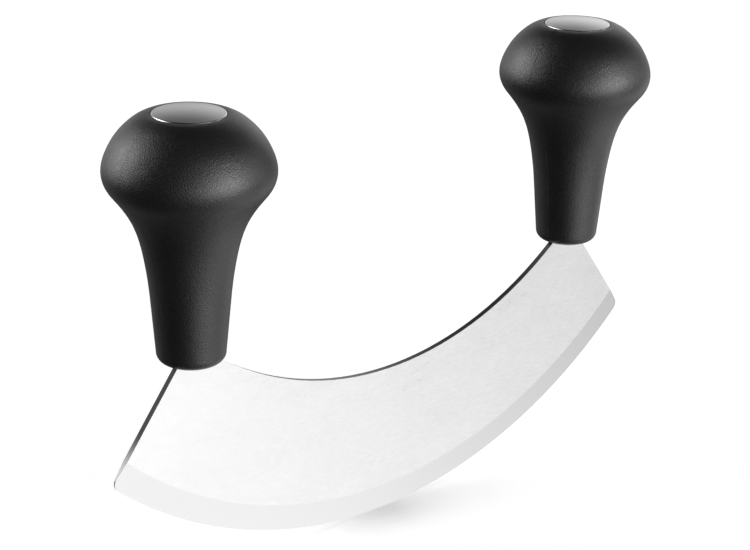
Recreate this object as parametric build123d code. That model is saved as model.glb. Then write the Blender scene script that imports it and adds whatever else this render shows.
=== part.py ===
from build123d import *
import math
import os

# Mezzaluna: one crescent blade rocked by two upright mushroom knobs.
# The origin is the lowest point of the cutting edge. +X runs along the blade, +Y through its
# thickness and +Z up. All lengths are millimetres.

# Blade
edge_radius = 137.5
edge_land = 0.16
bevel_width = 6.7
blade_depth = 39.8
blade_thickness = 1.5
corner_reach = 90.8  # from the middle to each corner before it is rounded: 180 over the rounds
corner_round = 2.2
shoulder_inside = 6.1  # from a knob's axis to its horn's inner corner, where the spine starts
shoulder_outside = 4.3  # from a knob's axis to its horn's outer corner

# Tang, the narrower tongue above each horn's shoulders
tang_width = 7.0
tang_thickness = 1.3
tang_length = 17.0
tang_root = 2.0  # how far the tongue's outline starts below the shoulders
tang_round = 1.5
rivet_height = 12.0  # from the shoulders to the rivet's axis

# Knob, a moulded handle with stepped bores along its axis
knob_pitch = 133.2
knob_base_height = 59.7  # from the cutting edge's lowest point to the shoulders
knob_height = 60.5
base_radius = 8.35
base_round = 2.6
shank_radius = 9.55
shank_height = 16.3
head_radius = 20.25
# How far each outline point has grown from the shank to the head's widest radius, and how far
# it has climbed from the shank's top to the knob's top
head_shares = [(0.106, 0.195), (0.371, 0.42), (0.732, 0.555), (0.925, 0.62), (1.0, 0.687), (0.879, 0.804),
               (0.692, 0.88), (0.454, 0.941), (0.29, 0.971), (0.122, 0.991)]
crown_slope = 4.0  # degrees, the fall of the knob's surface beside the cap
foot_bore_radius = 4.1
foot_bore_height = 21.0
stud_bore_radius = 2.75
washer_floor_height = 33.5
nut_bore_radius = 6.5

# Cap, a domed disc with a stub that holds its seal
cap_radius = 8.7
cap_thickness = 2.4
cap_dome = 0.75
cap_edge_round = 0.35
cap_gap = 0.13  # between the cap and the wall of its recess
cap_rise = 0.15  # from the knob's top up to the cap's edge
stub_radius = 6.1
stub_length = 5.0
groove_radius = 4.9
groove_width = 2.0
groove_depth = 1.3  # from the cap's underside to the groove

# Stud, rivet, nut and washers of one knob
stud_radius = 2.5
stud_end_height = 42.5
stud_chamfer = 0.6
foot_radius = 3.8
foot_base_height = 6.0
foot_head_gap = 1.0  # between the foot and the end of its bore
fork_gap = 0.1  # between the fork and each face of the tang
rivet_radius = 1.5
rivet_clearance = 0.05
rivet_end_gap = 0.2  # from each end of the rivet to the foot's round surface
washer_radius = 5.0
washer_thickness = 1.0
washer_clearance = 0.15
spring_radius = 4.4
spring_thickness = 1.2
spring_split = 0.8
nut_flats = 8.0
nut_height = 4.0
nut_clearance = 0.05
nut_chamfer = 0.5

# Rubber ring that closes the knob's underside round the tang
grommet_radius = 5.0
grommet_thickness = 1.6
grommet_clearance = 0.05

# Shared values
seal_clearance = 0.04  # between a seal and what it touches
cut_overrun = 1.0  # how far a cutting shape runs past what it cuts


# Heights above the knob's base that several pieces share
tang_top = tang_length
foot_top = foot_bore_height - foot_head_gap
cap_edge_height = knob_height + cap_rise
cap_seat_height = cap_edge_height - cap_thickness
washer_top = washer_floor_height + washer_thickness
spring_top = washer_top + spring_thickness
nut_top = spring_top + nut_height


def rod(radius, low, high):
    """A round bar on the Z axis between two heights."""
    return Pos(0, 0, low) * extrude(Circle(radius), high - low)


def ring(inner, outer, low, high):
    """A flat ring on the Z axis between two heights."""
    return Pos(0, 0, low) * extrude(Circle(outer) - Circle(inner), high - low)


def turned(*edges):
    """A solid turned about the Z axis from a closed outline of (radius, height) edges."""
    return revolve(Plane.XZ * make_face(edges), Axis.Z)


# Blade

def blade_outline():
    """The crescent up to its shoulders, seen from the front."""
    corner = (corner_reach, edge_radius - math.sqrt(edge_radius**2 - corner_reach**2))
    inner = (knob_pitch / 2 - shoulder_inside, knob_base_height)
    outer = (knob_pitch / 2 + shoulder_outside, knob_base_height)
    left = [(-x, z) for x, z in (inner, outer, corner)]
    outline = make_face([
        ThreePointArc(left[2], (0, 0), corner),
        Line(corner, outer),
        Line(outer, inner),
        ThreePointArc(inner, (0, blade_depth), left[0]),
        Line(left[0], left[1]),
        Line(left[1], left[2]),
    ])
    corners = outline.vertices().sort_by(Axis.X)
    return fillet([corners[0], corners[-1]], corner_round)


def bevel_cutter():
    """The wedge that is ground off one face all along the curved edge."""
    bevel_radius = edge_radius - bevel_width
    outside = edge_radius + cut_overrun
    slope = (blade_thickness - edge_land) / (2 * bevel_width)
    wedge = make_face(Polyline(
        (bevel_radius, blade_thickness / 2),
        (outside, edge_land / 2 - slope * cut_overrun),
        (outside, blade_thickness / 2 + cut_overrun),
        (bevel_radius, blade_thickness / 2 + cut_overrun),
        close=True,
    ))
    return Pos(0, 0, edge_radius) * revolve(wedge, Axis.Y)


def blade():
    """The stamped and ground crescent with its two tangs."""
    sheet = extrude(Plane.XZ * blade_outline(), blade_thickness / 2, both=True)
    cutter = bevel_cutter()
    sheet = sheet - cutter - mirror(cutter, Plane.XZ)
    tang_face = Rectangle(tang_width, tang_length + tang_root)
    tops = tang_face.vertices().group_by(Axis.Y)[-1]
    tang_face = fillet(tops, tang_round)
    tang = extrude(Plane.XZ * tang_face, tang_thickness / 2, both=True)
    middle = knob_base_height + (tang_length - tang_root) / 2
    rivet_hole = Rot(90, 0, 0) * Cylinder(rivet_radius + rivet_clearance, blade_thickness)
    for side in (-1, 1):
        sheet += Pos(side * knob_pitch / 2, 0, middle) * tang
        sheet -= Pos(side * knob_pitch / 2, 0, knob_base_height + rivet_height) * rivet_hole
    return sheet


# Knob, built with its base at zero height

def knob_outline():
    """The turned outline of the knob's outside, from its base to the cap's recess."""
    recess_radius = cap_radius + cap_gap
    growth = head_radius - shank_radius
    climb = knob_height - shank_height
    points = [(shank_radius, shank_height)]
    for wide, high in head_shares:
        points.append((shank_radius + wide * growth, shank_height + high * climb))
    points.append((recess_radius, knob_height))
    flank = (shank_radius - base_radius, shank_height - base_round)
    crown = (-math.cos(math.radians(crown_slope)), math.sin(math.radians(crown_slope)))
    return [
        Line((0, 0), (base_radius - base_round, 0)),
        RadiusArc((base_radius - base_round, 0), (base_radius, base_round), -base_round),
        Line((base_radius, base_round), (shank_radius, shank_height)),
        Spline(*points, tangents=[flank, crown]),
        Line((recess_radius, knob_height), (0, knob_height)),
        Line((0, knob_height), (0, 0)),
    ]


def knob():
    """The moulded knob with its stepped bores."""
    body = turned(*knob_outline())
    body -= rod(grommet_radius + grommet_clearance, -cut_overrun, grommet_thickness)
    body -= rod(foot_bore_radius, 0, foot_bore_height)
    body -= rod(stud_bore_radius, 0, washer_floor_height)
    body -= rod(nut_bore_radius, washer_floor_height, knob_height)
    body -= rod(cap_radius + cap_gap, cap_seat_height, knob_height + cut_overrun)
    return body


def grommet():
    """The rubber ring round the tang in the knob's underside."""
    slot = Box(tang_width + 2 * seal_clearance, tang_thickness + 2 * seal_clearance, 4 * grommet_thickness)
    return rod(grommet_radius, 0, grommet_thickness) - slot


def stud():
    """The threaded stud, drawn at its outside diameter, with the forked foot that takes the tang."""
    body = rod(foot_radius, foot_base_height, foot_top)
    body = chamfer(body.edges().sort_by(Axis.Z)[-1], stud_chamfer)
    body += rod(stud_radius, foot_base_height, stud_end_height)
    body = chamfer(body.edges().sort_by(Axis.Z)[-1], stud_chamfer)
    slot_width = tang_thickness + 2 * fork_gap
    slot_height = tang_top + fork_gap
    body -= Pos(0, 0, slot_height / 2) * Box(2 * foot_bore_radius, slot_width, slot_height)
    hole = Rot(90, 0, 0) * Cylinder(rivet_radius + rivet_clearance, 2 * foot_bore_radius)
    return body - Pos(0, 0, rivet_height) * hole


def rivet():
    """The pin through the fork and the tang."""
    reach = math.sqrt(foot_radius**2 - rivet_radius**2) - rivet_end_gap
    return Pos(0, 0, rivet_height) * Rot(90, 0, 0) * Cylinder(rivet_radius, 2 * reach)


def washer():
    """The flat washer on the floor of the nut bore."""
    return ring(stud_radius + washer_clearance, washer_radius, washer_floor_height, washer_top)


def spring_washer():
    """The split washer under the nut, drawn flat."""
    body = ring(stud_radius + washer_clearance, spring_radius, washer_top, spring_top)
    from_axis = (Align.MIN, Align.CENTER, Align.MIN)
    split = Box(spring_radius + cut_overrun, spring_split, 2 * spring_top, align=from_axis)
    return body - split


def nut():
    """The hexagon nut, its bore drawn at the stud's diameter with a small clearance."""
    hexagon = RegularPolygon(nut_flats / 2, 6, major_radius=False)
    body = Pos(0, 0, spring_top) * extrude(hexagon, nut_height)
    corner_radius = nut_flats / math.sqrt(3)
    cone = chamfer(rod(corner_radius, spring_top, nut_top).edges().filter_by(GeomType.CIRCLE), nut_chamfer)
    return (body & cone) - rod(stud_radius + nut_clearance, spring_top - cut_overrun, nut_top + cut_overrun)


def cap():
    """The domed disc with the grooved stub under it."""
    rim = cap_radius - cap_edge_round
    shoulder = cap_edge_height - cap_edge_round
    stub_low = cap_seat_height - stub_length
    body = turned(
        Line((0, stub_low), (stub_radius, stub_low)),
        Line((stub_radius, stub_low), (stub_radius, cap_seat_height)),
        Line((stub_radius, cap_seat_height), (cap_radius, cap_seat_height)),
        Line((cap_radius, cap_seat_height), (cap_radius, shoulder)),
        RadiusArc((cap_radius, shoulder), (rim, cap_edge_height), -cap_edge_round),
        TangentArc((0, cap_edge_height + cap_dome), (rim, cap_edge_height), tangent=(1, 0)),
        Line((0, cap_edge_height + cap_dome), (0, stub_low)),
    )
    groove_top = cap_seat_height - groove_depth
    groove = ring(groove_radius, stub_radius + cut_overrun, groove_top - groove_width, groove_top)
    return body - groove


def cap_seal():
    """The rubber ring in the stub's groove."""
    section = (nut_bore_radius - groove_radius) / 2 - seal_clearance
    middle = cap_seat_height - groove_depth - groove_width / 2
    return Pos(0, 0, middle) * Torus((nut_bore_radius + groove_radius) / 2, section)


def write(node, shape):
    """One STEP file for a node."""
    export_step(shape, os.path.join("parts", node + ".step"))


os.makedirs("parts", exist_ok=True)
write("blade", blade())

knob_pieces = {
    "handle": knob(),
    "grommet": grommet(),
    "tang_stud": stud(),
    "stud_rivet": rivet(),
    "washer": washer(),
    "spring_washer": spring_washer(),
    "nut": nut(),
    "cap": cap(),
    "cap_seal": cap_seal(),
}
for side_name, side in (("left", -1), ("right", 1)):
    for piece_name, piece in knob_pieces.items():
        place = Pos(side * knob_pitch / 2, 0, knob_base_height)
        write(side_name + "_" + piece_name, place * piece)
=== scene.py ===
"""A mezzaluna standing on its edge on a pale studio floor.

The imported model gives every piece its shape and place. This script gives the steel, plastic and
rubber their finishes, adds the mould's parting ridges to the knobs, and sets the camera and lights.
"""

import logging
import math
from dataclasses import dataclass, field
from enum import Enum
from typing import Any, Optional

import bpy
from mathutils import Matrix, Vector


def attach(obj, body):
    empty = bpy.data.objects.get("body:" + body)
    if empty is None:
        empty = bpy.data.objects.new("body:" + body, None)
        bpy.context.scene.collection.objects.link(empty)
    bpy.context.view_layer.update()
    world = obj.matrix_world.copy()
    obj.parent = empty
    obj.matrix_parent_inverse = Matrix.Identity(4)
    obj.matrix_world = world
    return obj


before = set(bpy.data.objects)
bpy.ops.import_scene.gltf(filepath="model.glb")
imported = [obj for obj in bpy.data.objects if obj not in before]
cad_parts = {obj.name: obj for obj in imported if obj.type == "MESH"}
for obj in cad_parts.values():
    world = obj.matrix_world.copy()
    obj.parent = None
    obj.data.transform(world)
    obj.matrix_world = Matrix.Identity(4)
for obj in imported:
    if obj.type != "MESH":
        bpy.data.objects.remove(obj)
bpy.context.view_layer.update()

MM = 0.001
ROOT = "root"
log = logging.getLogger("mezzaluna")


class Side(Enum):
    """The two ends of the knife."""

    LEFT = "left"
    RIGHT = "right"


class Look(Enum):
    """The finishes that the pieces take."""

    GROUND_BLADE = "satin ground blade steel"
    SATIN_CAP = "satin pressed cap steel"
    BRIGHT_FASTENER = "bright turned stainless"
    SPARKED_PLASTIC = "spark-grained moulded plastic"
    SEAL_RUBBER = "moulded seal rubber"


def linear(hex_colour: str) -> tuple[float, float, float, float]:
    """Turns an sRGB hex colour into linear RGBA.

    Args:
        hex_colour: Six hex digits, with or without a hash sign.

    Returns:
        The linear red, green and blue, and an alpha of one.
    """
    digits = hex_colour.lstrip("#")
    channels = [int(digits[i:i + 2], 16) / 255 for i in (0, 2, 4)]
    red, green, blue = [c / 12.92 if c <= 0.04045 else ((c + 0.055) / 1.055) ** 2.4 for c in channels]
    return (red, green, blue, 1.0)


def add_node(tree: bpy.types.NodeTree, kind: str, settings: Optional[dict[str, Any]] = None,
             inputs: Optional[dict[Any, Any]] = None) -> bpy.types.Node:
    """Adds a node, sets it up and links what feeds it.

    Args:
        tree: The node tree that the node joins.
        kind: The node's type name.
        settings: Properties to set on the node.
        inputs: Socket names or numbers, each with a value or an output socket to link.

    Returns:
        The new node.
    """
    node = tree.nodes.new(kind)
    for name, value in (settings or {}).items():
        setattr(node, name, value)
    for key, value in (inputs or {}).items():
        socket = node.inputs[key]
        if isinstance(value, bpy.types.NodeSocket):
            tree.links.new(value, socket)
        else:
            socket.default_value = value
    return node


class Shader:
    """A material's node tree, with short ways to make the steps that several finishes share."""

    def __init__(self, name: str) -> None:
        """Starts an empty material.

        Args:
            name: The material's name.
        """
        self.material = bpy.data.materials.new(name)
        self.material.use_nodes = True
        self.tree = self.material.node_tree
        self.tree.nodes.clear()
        self.coordinates = add_node(self.tree, "ShaderNodeTexCoord")

    def add(self, kind: str, settings: Optional[dict[str, Any]] = None,
            inputs: Optional[dict[Any, Any]] = None) -> bpy.types.Node:
        """Adds one node to this material."""
        return add_node(self.tree, kind, settings, inputs)

    def place(self) -> bpy.types.NodeSocket:
        """The surface point in metres, in the part's own frame."""
        return self.coordinates.outputs["Object"]

    def sum_up(self, operation: str, *values: Any) -> bpy.types.NodeSocket:
        """One step of arithmetic.

        Args:
            operation: The name of the operation.
            *values: Numbers or sockets, in the operation's own order.

        Returns:
            The result's socket.
        """
        node = self.add("ShaderNodeMath", {"operation": operation}, dict(enumerate(values)))
        return node.outputs[0]

    def step_up(self, value: bpy.types.NodeSocket, low: float, high: float,
                to_low: float = 0.0, to_high: float = 1.0) -> bpy.types.NodeSocket:
        """A smooth change from one value to another as a quantity passes between two limits.

        Args:
            value: The quantity's socket.
            low: Where the change starts.
            high: Where it ends.
            to_low: The result up to the start.
            to_high: The result from the end on.

        Returns:
            The result's socket.
        """
        node = self.add("ShaderNodeMapRange", {"interpolation_type": "SMOOTHSTEP"}, {
            "Value": value, "From Min": low, "From Max": high, "To Min": to_low, "To Max": to_high})
        return node.outputs["Result"]

    def blend(self, share: Any, first: Any, second: Any) -> bpy.types.NodeSocket:
        """Mixes two numbers by a share."""
        node = self.add("ShaderNodeMix", {"data_type": "FLOAT"}, {0: share, 2: first, 3: second})
        return node.outputs[0]

    def blend_colour(self, share: Any, first: Any, second: Any) -> bpy.types.NodeSocket:
        """Mixes two colours by a share."""
        node = self.add("ShaderNodeMix", {"data_type": "RGBA"}, {0: share, 6: first, 7: second})
        return node.outputs[2]

    def grain(self, vector: Any, stretch: tuple[float, float, float], detail: float = 2.0,
              roughness: float = 0.5) -> bpy.types.NodeSocket:
        """Noise whose grains have real lengths.

        Args:
            vector: The socket with the place in metres.
            stretch: The grain's length along each axis, in millimetres.
            detail: How many finer layers the noise has.
            roughness: How strong the finer layers are.

        Returns:
            The socket with the noise, from zero to one.
        """
        scale = tuple(1 / (length * MM) for length in stretch)
        mapped = self.add("ShaderNodeMapping", {"vector_type": "POINT"}, {"Vector": vector, "Scale": scale})
        noise = self.add("ShaderNodeTexNoise", {"noise_dimensions": "3D"}, {
            "Vector": mapped.outputs[0], "Scale": 1.0, "Detail": detail, "Roughness": roughness})
        return noise.outputs["Fac"]

    def relief(self, height: Any, depth_mm: float, strength: float,
               below: Optional[bpy.types.NodeSocket] = None) -> bpy.types.NodeSocket:
        """Surface relief from a height of zero to one.

        Args:
            height: The height's socket.
            depth_mm: How deep a height of one is, in millimetres.
            strength: The share of that depth that shows.
            below: The normal that this relief lies on.

        Returns:
            The normal's socket.
        """
        inputs: dict[Any, Any] = {"Height": height, "Distance": depth_mm * MM, "Strength": strength}
        if below is not None:
            inputs["Normal"] = below
        return self.add("ShaderNodeBump", None, inputs).outputs["Normal"]

    def finish(self, inputs: dict[Any, Any]) -> bpy.types.Material:
        """Closes the material with a principled surface.

        Args:
            inputs: The surface's socket names, each with a value or a socket.

        Returns:
            The finished material.
        """
        surface = self.add("ShaderNodeBsdfPrincipled", None, inputs)
        self.add("ShaderNodeOutputMaterial", None, {"Surface": surface.outputs[0]})
        return self.material


@dataclass(frozen=True)
class GroundBladeSteel:
    """Cold-rolled stainless sheet, ground along the blade and then ground again on its bevel.

    The long grinding gives a bright satin face with faint streaks. The bevel is ground across the
    edge and reads a shade darker. The stamped rim is left rough, so it is much darker. The two ends
    are rougher still, and above the ground corners their steel is painted darker again: painted
    shade for the dark surroundings that the ends mirror.
    """

    edge_radius_mm: float = 137.5
    bevel_width_mm: float = 6.7
    bevel_angle: float = 0.0997
    line_blur_mm: float = 0.45
    # The grit's own lines are about 0.03 mm wide. They are drawn about ten times as wide, or they
    # wouldn't show. Streaks run along the blade, scratches across the bevel, and both are this long
    # along each axis. The clouds are where the belt pressed harder.
    streak_mm: tuple[float, float, float] = (1.8, 1.8, 0.36)
    scratch_mm: tuple[float, float, float] = (0.30, 9.0, 7.0)
    shear_mark_mm: tuple[float, float, float] = (0.35, 3.0, 3.0)
    cloud_mm: tuple[float, float, float] = (26.0, 26.0, 5.0)
    # The streaks are weaker towards the left end, from one place along the blade to another.
    faint_from_mm: float = 40.0
    faintest_mm: float = -90.0
    faintest: float = 0.45
    # The ends' painted shade and rougher finish start above the ground corners, between these two heights.
    dark_from_mm: float = 37.0
    dark_full_mm: float = 46.0
    # A surface counts as rim where it faces sideways by less than the first share.
    rim_facing: tuple[float, float] = (0.6, 0.8)
    end_facing: float = 0.01
    relief_mm: float = 0.005
    relief_share: float = 0.22
    face_dark: str = "#D9D9D9"
    face_light: str = "#EDEDED"
    bevel_colour: str = "#D8D8D8"
    # The ends' colour is painted shade, darker than the rim, for the dark surroundings that the ends mirror.
    rim_colour: str = "#6E6E6F"
    end_painted_shade_colour: str = "#2C2C2E"
    face_roughness: float = 0.30
    bevel_roughness: float = 0.24
    rim_roughness: float = 0.36
    end_roughness: float = 0.50
    grit_spread: float = 0.08
    cloud_spread: float = 0.06

    def make(self) -> bpy.types.Material:
        """Builds the material."""
        shader = Shader(Look.GROUND_BLADE.value)
        place = shader.place()
        centre = self.edge_radius_mm * MM
        from_centre = shader.add("ShaderNodeVectorMath", {"operation": "SUBTRACT"},
                                 {0: place, 1: (0.0, 0.0, centre)}).outputs[0]
        parts = shader.add("ShaderNodeSeparateXYZ", None, {0: from_centre})
        across, down = parts.outputs["X"], parts.outputs["Z"]
        radius = shader.sum_up("SQRT", shader.sum_up(
            "ADD", shader.sum_up("MULTIPLY", across, across), shader.sum_up("MULTIPLY", down, down)))
        angle = shader.sum_up("ARCTAN2", across, shader.sum_up("MULTIPLY", down, -1.0))
        along = shader.sum_up("MULTIPLY", angle, centre)
        polar = shader.add("ShaderNodeCombineXYZ", None,
                           {0: along, 1: parts.outputs["Y"], 2: radius}).outputs[0]

        line = (self.edge_radius_mm - self.bevel_width_mm) * MM
        blur = self.line_blur_mm * MM
        on_bevel = shader.step_up(radius, line - blur, line + blur)
        sideways = shader.add("ShaderNodeSeparateXYZ", None, {0: shader.coordinates.outputs["Normal"]})
        on_rim = shader.step_up(shader.sum_up("ABSOLUTE", sideways.outputs["Y"]), *self.rim_facing, 1.0, 0.0)

        outward = shader.sum_up("MULTIPLY", sideways.outputs["X"], across)
        above_corner = shader.step_up(down, (self.dark_from_mm - self.edge_radius_mm) * MM,
                                      (self.dark_full_mm - self.edge_radius_mm) * MM)
        on_rough_end_with_painted_shade = shader.sum_up("MULTIPLY", shader.step_up(outward, 0.0, self.end_facing), above_corner)

        streaks = shader.grain(place, self.streak_mm, 2.0, 0.6)
        plain = shader.step_up(across, self.faintest_mm * MM, self.faint_from_mm * MM, self.faintest, 1.0)
        clouds = shader.grain(place, self.cloud_mm, 2.0)
        scratches = shader.grain(polar, self.scratch_mm, 3.0, 0.6)
        shear = shader.grain(polar, self.shear_mark_mm, 3.0, 0.7)

        face = shader.blend(on_bevel, streaks, scratches)
        height = shader.blend(on_rim, face, shear)
        polish = shader.blend(on_bevel, self.face_roughness, self.bevel_roughness)
        for pattern, spread in ((face, self.grit_spread), (clouds, self.cloud_spread)):
            change = shader.sum_up("MULTIPLY_ADD", pattern, spread, -spread / 2)
            polish = shader.sum_up("ADD", polish, change)
        sheared = shader.blend(on_rough_end_with_painted_shade, self.rim_roughness, self.end_roughness)
        roughness = shader.blend(on_rim, polish, sheared)
        shade = shader.sum_up("MULTIPLY_ADD", shader.sum_up("SUBTRACT", streaks, 0.5), plain, 0.5)
        ground = shader.blend_colour(shade, linear(self.face_dark), linear(self.face_light))
        colour = shader.blend_colour(on_bevel, ground, linear(self.bevel_colour))
        # The ends take a darker colour here as painted shade for the dark surroundings that they mirror.
        rim = shader.blend_colour(on_rough_end_with_painted_shade, linear(self.rim_colour), linear(self.end_painted_shade_colour))
        colour = shader.blend_colour(on_rim, colour, rim)
        rounded = self.rounded_line(shader, radius, line)
        normal = shader.relief(height, self.relief_mm, self.relief_share, rounded)
        return shader.finish({"Base Color": colour, "Metallic": 1.0, "Roughness": roughness,
                              "Normal": normal})

    def rounded_line(self, shader: Shader, radius: bpy.types.NodeSocket, line: float) -> bpy.types.NodeSocket:
        """The normal of a bevel line that polishing has rounded over a fraction of a millimetre.

        Args:
            shader: The material that is being built.
            radius: The socket with the distance from the edge's centre.
            line: The bevel line's distance from that centre.

        Returns:
            The normal's socket.
        """
        blur = self.line_blur_mm * MM
        away = shader.sum_up("ABSOLUTE", shader.sum_up("SUBTRACT", radius, line))
        near = shader.sum_up("MAXIMUM", shader.sum_up("SUBTRACT", blur, away), 0.0)
        dip = shader.sum_up("MULTIPLY", shader.sum_up("MULTIPLY", near, near),
                            -self.bevel_angle / (4 * blur))
        bump = shader.add("ShaderNodeBump", None, {"Height": dip, "Distance": 1.0, "Strength": 1.0})
        return bump.outputs[0]


@dataclass(frozen=True)
class SatinCapSteel:
    """Pressed stainless sheet, blasted satin on its dome with a burnished rim.

    The blasting spreads what the dome mirrors into soft areas, and the rim catches a thin bright line.
    """

    axis_mm: float = 66.6
    rim_start_mm: float = 8.3
    rim_end_mm: float = 8.42
    # Blasting leaves dents about 0.05 mm across. They are drawn at 0.3 mm so that they show.
    dent_mm: float = 0.3
    dent_depth_mm: float = 0.003
    dent_share: float = 0.2
    dome_colour: str = "#C4C4C4"
    rim_colour: str = "#D8D8D8"
    dome_roughness: float = 0.19
    dent_spread: float = 0.06
    rim_roughness: float = 0.16

    def make(self, side: Side) -> bpy.types.Material:
        """Builds the material for one knob's cap.

        Args:
            side: The end of the knife that the cap is on.

        Returns:
            The finished material.
        """
        shader = Shader(f"{side.value} {Look.SATIN_CAP.value}")
        axis = self.axis_mm * MM * (-1 if side is Side.LEFT else 1)
        offset = shader.add("ShaderNodeVectorMath", {"operation": "SUBTRACT"},
                            {0: shader.place(), 1: (axis, 0.0, 0.0)}).outputs[0]
        flat = shader.add("ShaderNodeVectorMath", {"operation": "MULTIPLY"}, {0: offset, 1: (1.0, 1.0, 0.0)})
        radius = shader.add("ShaderNodeVectorMath", {"operation": "LENGTH"},
                            {0: flat.outputs[0]}).outputs["Value"]
        on_rim = shader.step_up(radius, self.rim_start_mm * MM, self.rim_end_mm * MM)
        dents = shader.grain(shader.place(), (self.dent_mm,) * 3, 2.0, 0.6)
        roughness = shader.sum_up("MULTIPLY_ADD", dents, self.dent_spread, self.dome_roughness)
        roughness = shader.blend(on_rim, roughness, self.rim_roughness)
        colour = shader.blend_colour(on_rim, linear(self.dome_colour), linear(self.rim_colour))
        normal = shader.relief(dents, self.dent_depth_mm, self.dent_share)
        return shader.finish({"Base Color": colour, "Metallic": 1.0, "Roughness": roughness,
                              "Normal": normal})


@dataclass(frozen=True)
class BrightFastenerSteel:
    """Turned and pressed stainless fasteners, bright with fine tool marks round their axis."""

    # A turning tool moves on by about 0.12 mm a turn, and the marks have that real size.
    mark_mm: tuple[float, float, float] = (2.0, 2.0, 0.12)
    mark_depth_mm: float = 0.01
    mark_share: float = 0.3
    colour: str = "#B9B9B6"
    roughness: float = 0.22
    mark_spread: float = 0.16

    def make(self) -> bpy.types.Material:
        """Builds the material."""
        shader = Shader(Look.BRIGHT_FASTENER.value)
        marks = shader.grain(shader.place(), self.mark_mm, 3.0, 0.6)
        roughness = shader.sum_up("MULTIPLY_ADD", marks, self.mark_spread, self.roughness)
        normal = shader.relief(marks, self.mark_depth_mm, self.mark_share)
        return shader.finish({"Base Color": linear(self.colour), "Metallic": 1.0, "Roughness": roughness,
                              "Normal": normal})


@dataclass(frozen=True)
class SparkedPlastic:
    """Black polypropylene, moulded in a mould with a spark-eroded grain.

    The grain spreads the highlights and makes them sparkle a little. Hands polish its high spots, which
    are a shade lighter. The thick knob sinks a little as it cools, so the highlights are uneven.
    """

    # A mould's spark pits are about 0.1 mm across. They are drawn at 0.27 mm so that they show.
    grain_mm: float = 0.27
    grain_depth_mm: float = 0.10
    swell_mm: float = 2.2
    swell_depth_mm: float = 0.03
    patch_mm: float = 6.0
    worn_from: float = 0.45
    worn_full: float = 0.75
    colour: str = "#161617"
    worn_colour: str = "#1F1F20"
    roughness: float = 0.31
    patch_spread: float = 0.08
    ior: float = 1.49

    def make(self) -> bpy.types.Material:
        """Builds the material."""
        shader = Shader(Look.SPARKED_PLASTIC.value)
        place = shader.place()
        pits = shader.grain(place, (self.grain_mm,) * 3, 2.0)
        patches = shader.grain(place, (self.patch_mm,) * 3, 2.0)
        worn = shader.step_up(pits, self.worn_from, self.worn_full)
        colour = shader.blend_colour(worn, linear(self.colour), linear(self.worn_colour))
        roughness = shader.sum_up("MULTIPLY_ADD", patches, self.patch_spread,
                                  self.roughness - self.patch_spread / 2)
        swell = shader.relief(shader.grain(place, (self.swell_mm,) * 3, 1.0), self.swell_depth_mm, 1.0)
        normal = shader.relief(pits, self.grain_depth_mm, 1.0, swell)
        return shader.finish({"Base Color": colour, "Roughness": roughness, "IOR": self.ior,
                              "Normal": normal})


@dataclass(frozen=True)
class SealRubber:
    """Black moulded nitrile rubber, dull with a fine bloom."""

    # The bloom's patches have their real size, about half a millimetre.
    bloom_mm: float = 0.5
    bloom_depth_mm: float = 0.02
    bloom_share: float = 0.3
    colour: str = "#121212"
    roughness: float = 0.72
    bloom_spread: float = 0.15
    ior: float = 1.52

    def make(self) -> bpy.types.Material:
        """Builds the material."""
        shader = Shader(Look.SEAL_RUBBER.value)
        bloom = shader.grain(shader.place(), (self.bloom_mm,) * 3, 3.0)
        roughness = shader.sum_up("MULTIPLY_ADD", bloom, self.bloom_spread, self.roughness)
        normal = shader.relief(bloom, self.bloom_depth_mm, self.bloom_share)
        return shader.finish({"Base Color": linear(self.colour), "Roughness": roughness, "IOR": self.ior,
                              "Normal": normal})


def dress(node: str, material: bpy.types.Material) -> None:
    """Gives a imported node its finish.

    Args:
        node: The node's name.
        material: The finish.
    """
    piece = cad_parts[node]
    if not piece.material_slots:
        piece.data.materials.append(material)
    for slot in piece.material_slots:
        slot.material = material
    log.info("%s: %s", node, material.name)


@dataclass
class Blade:
    """The ground crescent."""

    steel: GroundBladeSteel = field(default_factory=GroundBladeSteel)

    def build(self) -> None:
        """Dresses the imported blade."""
        dress("blade", self.steel.make())


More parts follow.
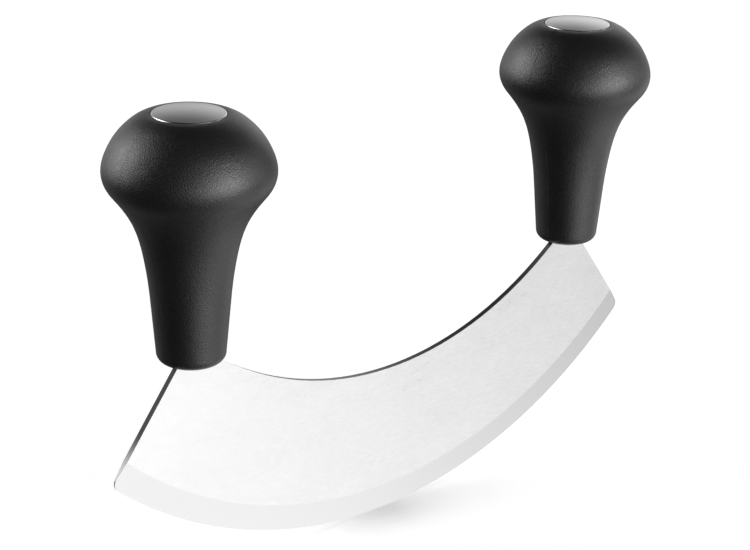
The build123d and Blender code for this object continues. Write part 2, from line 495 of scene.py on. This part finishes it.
@dataclass
class PartingRidge:
    """The fine ridge that the joint of the mould's two halves left up both sides of a knob.

    It is a thin bead that follows the knob's surface near the blade's plane. Most of it lies in the
    plastic, so that only its crest stands proud. A round knob can be screwed down a little turned.
    """

    side: Side
    plastic: bpy.types.Material
    turn: float
    proud_mm: float
    bead_mm: float = 0.15
    bead_sides: int = 10
    spacing_mm: float = 0.5
    axis_mm: float = 66.6
    base_mm: float = 59.7
    # The knob's outline, as distances from its axis and heights above its base
    outline_mm: tuple[tuple[float, float], ...] = (
        (7.6, 0.8), (8.35, 2.6), (9.55, 16.3), (10.68, 24.9), (13.52, 34.85), (17.38, 40.8), (19.45, 43.7),
        (20.25, 46.65), (18.96, 51.85), (16.95, 55.2), (14.4, 57.9), (12.65, 59.2), (10.85, 60.1),
        (9.3, 60.45),
    )

    def build(self, knob: bpy.types.Object) -> None:
        """Adds the ridge to a knob.

        Args:
            knob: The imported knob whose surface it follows.
        """
        name = f"{self.side.value}_parting_ridge"
        piece = bpy.data.objects.new(name, self.path(name))
        bpy.context.scene.collection.objects.link(piece)
        tree = self.tree()
        modifier = piece.modifiers.new("sweep", "NODES")
        modifier.node_group = tree
        values = {"Knob": knob, "Bead radius": self.bead_mm * MM, "Proud": self.proud_mm * MM,
                  "Bead sides": self.bead_sides, "Spacing": self.spacing_mm * MM, "Plastic": self.plastic}
        for item in tree.interface.items_tree:
            if item.name in values:
                modifier[item.identifier] = values[item.name]
        evaluated = piece.evaluated_get(bpy.context.evaluated_depsgraph_get())
        plain = bpy.data.meshes.new_from_object(evaluated)
        piece.modifiers.remove(modifier)
        piece.data = plain
        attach(piece, ROOT)
        log.info("%s: %d faces", name, len(plain.polygons))

    def path(self, name: str) -> bpy.types.Mesh:
        """The two lines of edges that the bead follows, one up each side of the knob.

        Args:
            name: The mesh's name.

        Returns:
            The mesh of edges.
        """
        axis = self.axis_mm * (-1 if self.side is Side.LEFT else 1)
        ahead, aside = math.cos(math.radians(self.turn)), math.sin(math.radians(self.turn))
        points, edges = [], []
        for way in (-1, 1):
            first = len(points)
            points += [((axis + way * radius * ahead) * MM, way * radius * aside * MM,
                        (self.base_mm + height) * MM) for radius, height in self.outline_mm]
            edges += [(i, i + 1) for i in range(first, len(points) - 1)]
        mesh = bpy.data.meshes.new(name)
        mesh.from_pydata(points, edges, [])
        return mesh

    def tree(self) -> bpy.types.NodeTree:
        """The nodes that lay the path on the knob and sweep the bead along it."""
        tree = bpy.data.node_groups.new("parting ridge", "GeometryNodeTree")
        for label, kind in (("Path", "NodeSocketGeometry"), ("Knob", "NodeSocketObject"),
                            ("Bead radius", "NodeSocketFloat"), ("Bead sides", "NodeSocketInt"),
                            ("Proud", "NodeSocketFloat"), ("Spacing", "NodeSocketFloat"),
                            ("Plastic", "NodeSocketMaterial")):
            tree.interface.new_socket(name=label, in_out="INPUT", socket_type=kind)
        tree.interface.new_socket(name="Ridge", in_out="OUTPUT", socket_type="NodeSocketGeometry")
        given = add_node(tree, "NodeGroupInput").outputs
        knob = add_node(tree, "GeometryNodeObjectInfo", {"transform_space": "RELATIVE"},
                        {"Object": given["Knob"]}).outputs["Geometry"]
        lines = add_node(tree, "GeometryNodeMeshToCurve", None, {"Mesh": given["Path"]}).outputs[0]
        lines = add_node(tree, "GeometryNodeResampleCurve", {"mode": "LENGTH"},
                         {"Curve": lines, "Length": given["Spacing"]}).outputs[0]
        place = add_node(tree, "GeometryNodeInputPosition").outputs[0]
        nearest = add_node(tree, "GeometryNodeProximity", {"target_element": "FACES"},
                           {0: knob, "Sample Position": place}).outputs["Position"]
        facing = add_node(tree, "GeometryNodeInputNormal").outputs[0]
        outward = add_node(tree, "GeometryNodeSampleNearestSurface", {"data_type": "FLOAT_VECTOR"},
                           {"Mesh": knob, "Value": facing, "Sample Position": place}).outputs["Value"]
        sunk = add_node(tree, "ShaderNodeMath", {"operation": "SUBTRACT"},
                        {0: given["Proud"], 1: given["Bead radius"]}).outputs[0]
        shift = add_node(tree, "ShaderNodeVectorMath", {"operation": "SCALE"},
                         {0: outward, "Scale": sunk}).outputs[0]
        lines = add_node(tree, "GeometryNodeSetPosition", None,
                         {"Geometry": lines, "Position": nearest, "Offset": shift}).outputs[0]
        profile = add_node(tree, "GeometryNodeCurvePrimitiveCircle", {"mode": "RADIUS"},
                           {"Resolution": given["Bead sides"], "Radius": given["Bead radius"]}).outputs[0]
        bead = add_node(tree, "GeometryNodeCurveToMesh", None,
                        {"Curve": lines, "Profile Curve": profile, "Fill Caps": True}).outputs[0]
        bead = add_node(tree, "GeometryNodeRealizeInstances", None, {"Geometry": bead}).outputs[0]
        bead = add_node(tree, "GeometryNodeSetMaterial", None,
                        {"Geometry": bead, "Material": given["Plastic"]}).outputs[0]
        add_node(tree, "NodeGroupOutput", None, {"Ridge": bead})
        return tree


@dataclass
class Knob:
    """One moulded knob with its cap, parting ridge, seals and hidden fasteners."""

    side: Side
    plastic: bpy.types.Material
    fastener: bpy.types.Material
    rubber: bpy.types.Material
    ridge_turn: float
    ridge_proud_mm: float
    cap_steel: SatinCapSteel = field(default_factory=SatinCapSteel)

    def build(self) -> None:
        """Dresses the knob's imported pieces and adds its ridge."""
        dress(self.node("handle"), self.plastic)
        ridge = PartingRidge(self.side, self.plastic, self.ridge_turn, self.ridge_proud_mm)
        ridge.build(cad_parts[self.node("handle")])
        dress(self.node("cap"), self.cap_steel.make(self.side))
        for piece in ("tang_stud", "stud_rivet", "washer", "spring_washer", "nut"):
            dress(self.node(piece), self.fastener)
        for piece in ("grommet", "cap_seal"):
            dress(self.node(piece), self.rubber)

    def node(self, piece: str) -> str:
        """The name of this knob's node for a piece."""
        return f"{self.side.value}_{piece}"


@dataclass(frozen=True)
class Glow:
    """A soft pool of light in the studio's surroundings, such as a softbox or a lit part of the table.

    It is brightest in one direction. The heading is counted in degrees from the knife's back towards
    its right end, and the rise from the horizon up.
    """

    heading: float
    rise: float
    tightness: float
    strength: float

    def light(self, tree: bpy.types.NodeTree, direction: bpy.types.NodeSocket) -> bpy.types.NodeSocket:
        """Adds the nodes that give this pool's light.

        Args:
            tree: The world's node tree.
            direction: The socket with the direction that is looked in.

        Returns:
            The socket with the light's strength.
        """
        # The heading starts at +Y, behind the knife, and grows towards +X.
        across, up = math.radians(self.heading), math.radians(self.rise)
        centre = (math.cos(up) * math.sin(across), math.cos(up) * math.cos(across), math.sin(up))
        nearness = add_node(tree, "ShaderNodeVectorMath", {"operation": "DOT_PRODUCT"},
                            {0: direction, 1: centre}).outputs["Value"]
        falloff = add_node(tree, "ShaderNodeMath", {"operation": "MULTIPLY_ADD"},
                           {0: nearness, 1: self.tightness, 2: -self.tightness}).outputs[0]
        share = add_node(tree, "ShaderNodeMath", {"operation": "EXPONENT"}, {0: falloff}).outputs[0]
        return add_node(tree, "ShaderNodeMath", {"operation": "MULTIPLY"},
                        {0: share, 1: self.strength}).outputs[0]


@dataclass
class Studio:
    """The pale floor and the soft light all round.

    The floor is only a backdrop. What the knife mirrors of its table is in the glows below the horizon.
    Its shade is one soft pool round the place where the edge stands, drawn out away from the key light.
    """

    floor_reach: float = 6.0
    floor_colour: str = "#BCBCBC"
    floor_roughness: float = 0.9
    floor_gloss: float = 0.1
    floor_glow: float = 0.775
    shade_depth: float = 0.46
    shade_place_mm: tuple[float, float] = (-0.1, -0.5)
    shade_turn: float = -13.0
    shade_width_mm: float = 11.05
    shade_spread: float = 0.085
    shade_ahead_mm: float = 22.0
    shade_behind_mm: float = 23.4
    dimmest: float = 0.02
    glows: tuple[Glow, ...] = (
        Glow(160, 10, 40, 11.1),
        Glow(330, 20, 20, 7.20),
        Glow(180, 0, 10, 4.85),
        Glow(120, 10, 40, 2.51),
        Glow(310, 30, 40, 1.70),
        Glow(135, -45, 10, 1.38),
        Glow(60, 10, 20, 1.05),
        Glow(90, -20, 20, 0.94),
        Glow(10, 0, 40, 0.67),
        Glow(50, -60, 40, 0.52),
        Glow(75, 25, 20, 0.30),
        Glow(30, 10, 20, 0.42),
        Glow(0, -20, 5, 0.17),
        Glow(315, 20, 10, 0.05),
    )

    def build(self) -> None:
        """Adds the floor, the light and the plain view of colours."""
        self.floor()
        self.surroundings()
        bpy.context.scene.view_settings.view_transform = "Standard"

    def floor(self) -> None:
        """A matt white floor that glows a little, as a lit table does."""
        reach = self.floor_reach
        mesh = bpy.data.meshes.new("studio_floor")
        mesh.from_pydata([(-reach, -reach, 0), (reach, -reach, 0), (reach, reach, 0), (-reach, reach, 0)],
                         [], [(0, 1, 2, 3)])
        floor = bpy.data.objects.new("studio_floor", mesh)
        bpy.context.scene.collection.objects.link(floor)
        shader = Shader("matt white studio floor")
        glow = shader.sum_up("MULTIPLY_ADD", self.shade(shader), -self.shade_depth, self.floor_glow)
        mesh.materials.append(shader.finish({
            "Base Color": linear(self.floor_colour), "Roughness": self.floor_roughness,
            "Specular IOR Level": self.floor_gloss,
            "Emission Color": (1.0, 1.0, 1.0, 1.0), "Emission Strength": glow}))
        floor.visible_glossy = False
        floor.visible_diffuse = False
        floor.visible_shadow = False

    def shade(self, shader: Shader) -> bpy.types.NodeSocket:
        """The knife's soft shade on the floor, from one where it is deepest down to zero.

        Args:
            shader: The floor's material.

        Returns:
            The socket with the shade's share.
        """
        centre = tuple(length * MM for length in self.shade_place_mm) + (0.0,)
        moved = shader.add("ShaderNodeVectorMath", {"operation": "SUBTRACT"}, {0: shader.place(), 1: centre})
        turned = shader.add("ShaderNodeVectorRotate", {"rotation_type": "Z_AXIS"}, {
            "Vector": moved.outputs[0], "Angle": -math.radians(self.shade_turn)})
        spot = shader.add("ShaderNodeSeparateXYZ", None, {0: turned.outputs[0]}).outputs
        ahead = shader.sum_up("MAXIMUM", spot["X"], 0.0)
        behind = shader.sum_up("MINIMUM", spot["X"], 0.0)
        width = shader.sum_up("MULTIPLY_ADD", ahead, self.shade_spread, self.shade_width_mm * MM)
        aside = shader.sum_up("DIVIDE", spot["Y"], width)
        past = shader.sum_up("DIVIDE", behind, self.shade_behind_mm * MM)
        fade = shader.sum_up("DIVIDE", ahead, self.shade_ahead_mm * MM)
        for share in (past, aside):
            fade = shader.sum_up("MULTIPLY_ADD", share, share, fade)
        return shader.sum_up("EXPONENT", shader.sum_up("MULTIPLY", fade, -1.0))

    def surroundings(self) -> None:
        """The world, dark but for its pools of light."""
        world = bpy.data.worlds.new("studio_surroundings")
        bpy.context.scene.world = world
        world.use_nodes = True
        tree = world.node_tree
        tree.nodes.clear()
        direction = add_node(tree, "ShaderNodeTexCoord").outputs["Generated"]
        total: Any = self.dimmest
        for glow in self.glows:
            total = add_node(tree, "ShaderNodeMath", {"operation": "ADD"},
                             {0: total, 1: glow.light(tree, direction)}).outputs[0]
        background = add_node(tree, "ShaderNodeBackground", None, {
            "Color": (1.0, 1.0, 1.0, 1.0), "Strength": total})
        add_node(tree, "ShaderNodeOutputWorld", None, {"Surface": background.outputs[0]})


@dataclass(frozen=True)
class PhotoCamera:
    """The camera of the photograph, fitted to the object's outlines."""

    place: tuple[float, float, float] = (-0.36352, -0.36515, 0.25706)
    heading: float = 44.340
    dip: float = 20.465
    roll: float = 1.282
    focal_mm: float = 103.42
    sensor_mm: float = 36.0
    nearest: float = 0.01

    def build(self) -> None:
        """Adds the camera and makes it the scene's own."""
        lens = bpy.data.cameras.new("photo_camera")
        lens.lens = self.focal_mm
        lens.sensor_width = self.sensor_mm
        lens.clip_start = self.nearest
        camera = bpy.data.objects.new("photo_camera", lens)
        turn = Matrix.Rotation(-math.radians(self.heading), 4, "Z")
        tilt = Matrix.Rotation(math.radians(90 - self.dip), 4, "X")
        roll = Matrix.Rotation(math.radians(self.roll), 4, "Z")
        camera.matrix_world = Matrix.Translation(self.place) @ turn @ tilt @ roll
        bpy.context.scene.collection.objects.link(camera)
        bpy.context.scene.camera = camera


def main() -> None:
    """Builds the scene in order."""
    logging.basicConfig(level=logging.INFO, format="%(name)s: %(message)s")
    PhotoCamera().build()
    Studio().build()
    Blade().build()
    plastic = SparkedPlastic().make()
    fastener = BrightFastenerSteel().make()
    rubber = SealRubber().make()
    # Each knob's ridge is turned by some degrees and stands proud by some hundredths of a millimetre.
    ridges = ((Side.LEFT, 0.0, 0.025), (Side.RIGHT, 5.0, 0.06))
    for side, ridge_turn, ridge_proud_mm in ridges:
        Knob(side, plastic, fastener, rubber, ridge_turn, ridge_proud_mm).build()


if __name__ == "__main__":
    main()
